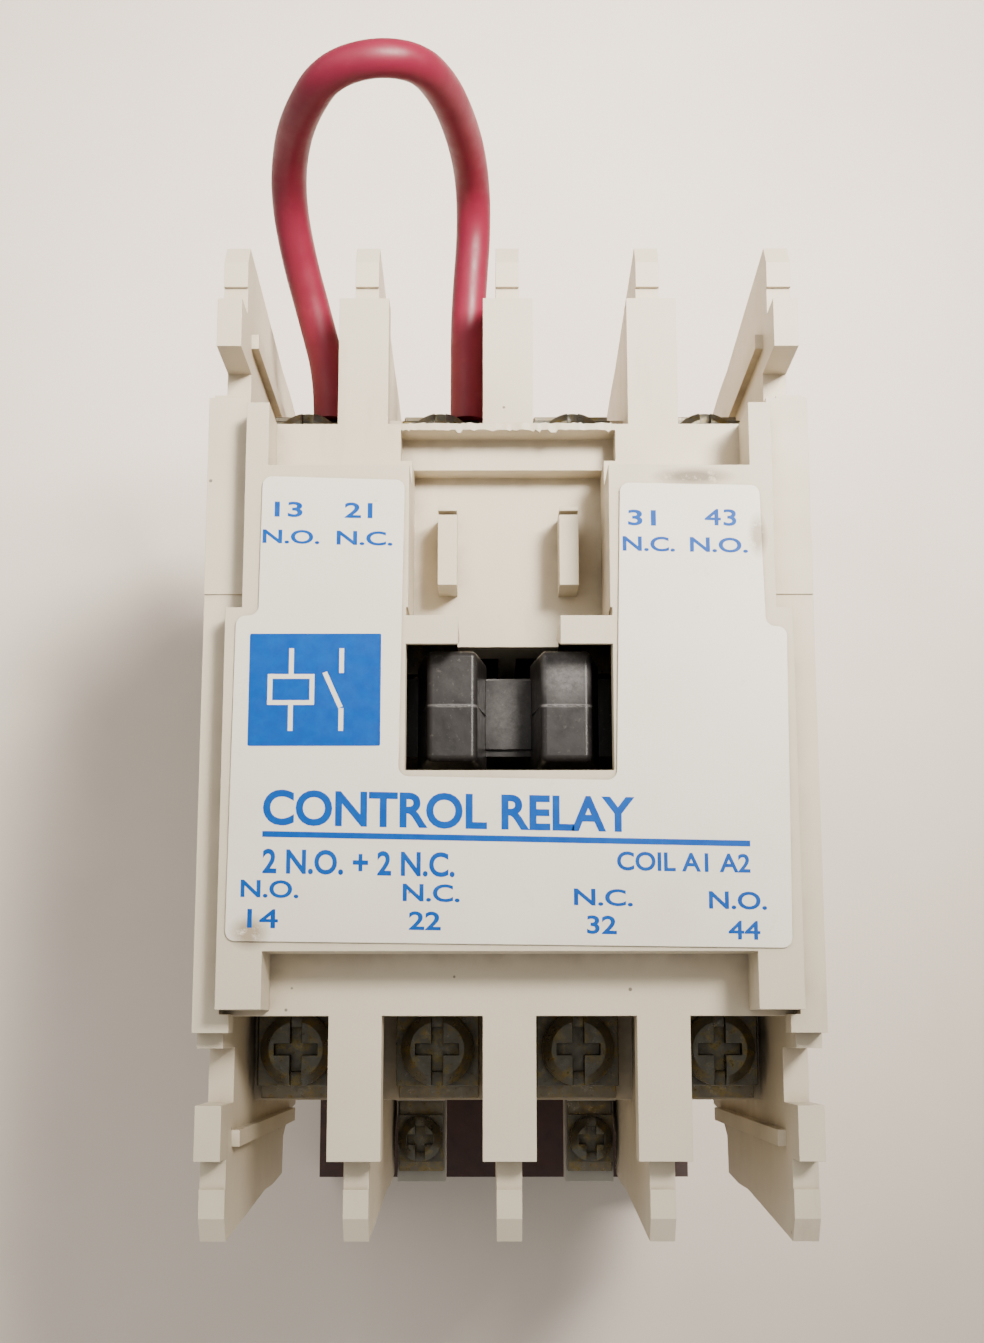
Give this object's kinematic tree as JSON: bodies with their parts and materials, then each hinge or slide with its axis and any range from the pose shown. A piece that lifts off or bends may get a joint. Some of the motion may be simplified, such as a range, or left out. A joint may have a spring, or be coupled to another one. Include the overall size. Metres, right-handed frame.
{
  "type": "industrial control relay",
  "caption": "Panel or rail mounted electromagnetic control relay with screw terminals at both ends, a sliding contact carrier and a looped jumper lead.",
  "frame": {"origin": "centre of the mounting plane, without the jumper lead", "axes": "+Z from the mounting plane to the front cover, +Y towards the upper terminals, +X to the right seen from the front"},
  "size_m": [0.045, 0.09, 0.0795],
  "materials": {
    "housing_plastic": "satin moulded light grey",
    "base_phenolic": "dark maroon phenolic moulding",
    "label_film": "semi-gloss white film",
    "crossbar_black": "glossy black moulding",
    "laminated_steel": "stacked laminations",
    "steel": "ground steel",
    "copper": "bare or enamelled copper",
    "rubber": "soft black rubber",
    "bobbin_plastic": "glass-filled nylon",
    "latch_plastic": "black acetal",
    "plated_brass": "tin-plated and worn brass",
    "silver": "silver alloy",
    "zinc_steel": "yellowed zinc plating",
    "spring_steel": "drawn wire",
    "wire_pvc": "smooth red insulation"
  },
  "bodies": {
    "relay_body": {"contact_housing": "housing_plastic", "front_cover": "housing_plastic", "mounting_base": "base_phenolic", "front_label": "label_film", "fixed_core": "laminated_steel", "shading_rings": "copper", "coil_winding": "copper", "jumper_conductors": "copper", "core_cushion": "rubber", "coil_bobbin": "bobbin_plastic", "coil_terminal_a1": "plated_brass", "coil_terminal_a2": "plated_brass", "terminal_plate_13": "plated_brass", "terminal_plate_14": "plated_brass", "terminal_plate_21": "plated_brass", "terminal_plate_22": "plated_brass", "terminal_plate_31": "plated_brass", "terminal_plate_32": "plated_brass", "terminal_plate_43": "plated_brass", "terminal_plate_44": "plated_brass", "fixed_contact_tips": "silver", "housing_screws": "zinc_steel", "return_spring": "spring_steel", "latch_spring": "spring_steel", "jumper_wire": "wire_pvc"},
    "plunger": {"crossbar": "crossbar_black", "armature": "laminated_steel", "armature_pin": "steel", "contact_spring_1": "spring_steel", "contact_spring_2": "spring_steel", "contact_spring_3": "spring_steel", "contact_spring_4": "spring_steel"},
    "bridge_1": {"contact_bridge_1": "plated_brass", "moving_tips_1": "silver"},
    "bridge_2": {"contact_bridge_2": "plated_brass", "moving_tips_2": "silver"},
    "bridge_3": {"contact_bridge_3": "plated_brass", "moving_tips_3": "silver"},
    "bridge_4": {"contact_bridge_4": "plated_brass", "moving_tips_4": "silver"},
    "clamp_screw_13": {"terminal_screw_13": "zinc_steel", "terminal_clamp_13": "zinc_steel"},
    "clamp_screw_14": {"terminal_screw_14": "zinc_steel", "terminal_clamp_14": "zinc_steel"},
    "clamp_screw_21": {"terminal_screw_21": "zinc_steel", "terminal_clamp_21": "zinc_steel"},
    "clamp_screw_22": {"terminal_screw_22": "zinc_steel", "terminal_clamp_22": "zinc_steel"},
    "clamp_screw_31": {"terminal_screw_31": "zinc_steel", "terminal_clamp_31": "zinc_steel"},
    "clamp_screw_32": {"terminal_screw_32": "zinc_steel", "terminal_clamp_32": "zinc_steel"},
    "clamp_screw_43": {"terminal_screw_43": "zinc_steel", "terminal_clamp_43": "zinc_steel"},
    "clamp_screw_44": {"terminal_screw_44": "zinc_steel", "terminal_clamp_44": "zinc_steel"},
    "clamp_screw_a1": {"coil_screw_a1": "zinc_steel"},
    "clamp_screw_a2": {"coil_screw_a2": "zinc_steel"},
    "rail_latch": {"din_latch": "latch_plastic"}
  },
  "joints": [
    {"name": "plunger_slide", "type": "slide", "parent": "relay_body", "child": "plunger", "axis": [0, 0, -1], "range_m": [0, 0.0055], "stiffness_N_per_m": 400, "springref_m": -0.004, "deforming": ["return_spring"]},
    {"name": "bridge_1_slide", "type": "slide", "parent": "plunger", "child": "bridge_1", "axis": [0, 0, 1], "range_m": [0, 0.0022], "deforming": ["contact_spring_1"]},
    {"name": "bridge_2_slide", "type": "slide", "parent": "plunger", "child": "bridge_2", "axis": [0, 0, 1], "range_m": [0, 0.0022], "deforming": ["contact_spring_2"]},
    {"name": "bridge_3_slide", "type": "slide", "parent": "plunger", "child": "bridge_3", "axis": [0, 0, 1], "range_m": [0, 0.0022], "deforming": ["contact_spring_3"]},
    {"name": "bridge_4_slide", "type": "slide", "parent": "plunger", "child": "bridge_4", "axis": [0, 0, 1], "range_m": [0, 0.0022], "deforming": ["contact_spring_4"]},
    {"name": "screw_13_travel", "type": "slide", "parent": "relay_body", "child": "clamp_screw_13", "axis": [0, 0, 1], "range_m": [0, 0.0025]},
    {"name": "screw_14_travel", "type": "slide", "parent": "relay_body", "child": "clamp_screw_14", "axis": [0, 0, 1], "range_m": [-0.0008, 0.0025]},
    {"name": "screw_21_travel", "type": "slide", "parent": "relay_body", "child": "clamp_screw_21", "axis": [0, 0, 1], "range_m": [0, 0.0025]},
    {"name": "screw_22_travel", "type": "slide", "parent": "relay_body", "child": "clamp_screw_22", "axis": [0, 0, 1], "range_m": [-0.0008, 0.0025]},
    {"name": "screw_31_travel", "type": "slide", "parent": "relay_body", "child": "clamp_screw_31", "axis": [0, 0, 1], "range_m": [-0.0008, 0.0025]},
    {"name": "screw_32_travel", "type": "slide", "parent": "relay_body", "child": "clamp_screw_32", "axis": [0, 0, 1], "range_m": [-0.0008, 0.0025]},
    {"name": "screw_43_travel", "type": "slide", "parent": "relay_body", "child": "clamp_screw_43", "axis": [0, 0, 1], "range_m": [-0.0008, 0.0025]},
    {"name": "screw_44_travel", "type": "slide", "parent": "relay_body", "child": "clamp_screw_44", "axis": [0, 0, 1], "range_m": [-0.0008, 0.0025]},
    {"name": "screw_a1_travel", "type": "slide", "parent": "relay_body", "child": "clamp_screw_a1", "axis": [0, 0, 1], "range_m": [-0.0006, 0.0015]},
    {"name": "screw_a2_travel", "type": "slide", "parent": "relay_body", "child": "clamp_screw_a2", "axis": [0, 0, 1], "range_m": [-0.0006, 0.0015]},
    {"name": "rail_latch_slide", "type": "slide", "parent": "relay_body", "child": "rail_latch", "axis": [0, -1, 0], "range_m": [0, 0.003], "stiffness_N_per_m": 200, "springref_m": -0.002, "deforming": ["latch_spring"]}
  ],
  "couplings": [
    {"joint": "bridge_1_slide", "follows": "plunger_slide", "ratio": 0.4},
    {"joint": "bridge_2_slide", "follows": "plunger_slide", "ratio": 0.4},
    {"joint": "bridge_3_slide", "follows": "plunger_slide", "ratio": 0.4},
    {"joint": "bridge_4_slide", "follows": "plunger_slide", "ratio": 0.4}
  ]
}
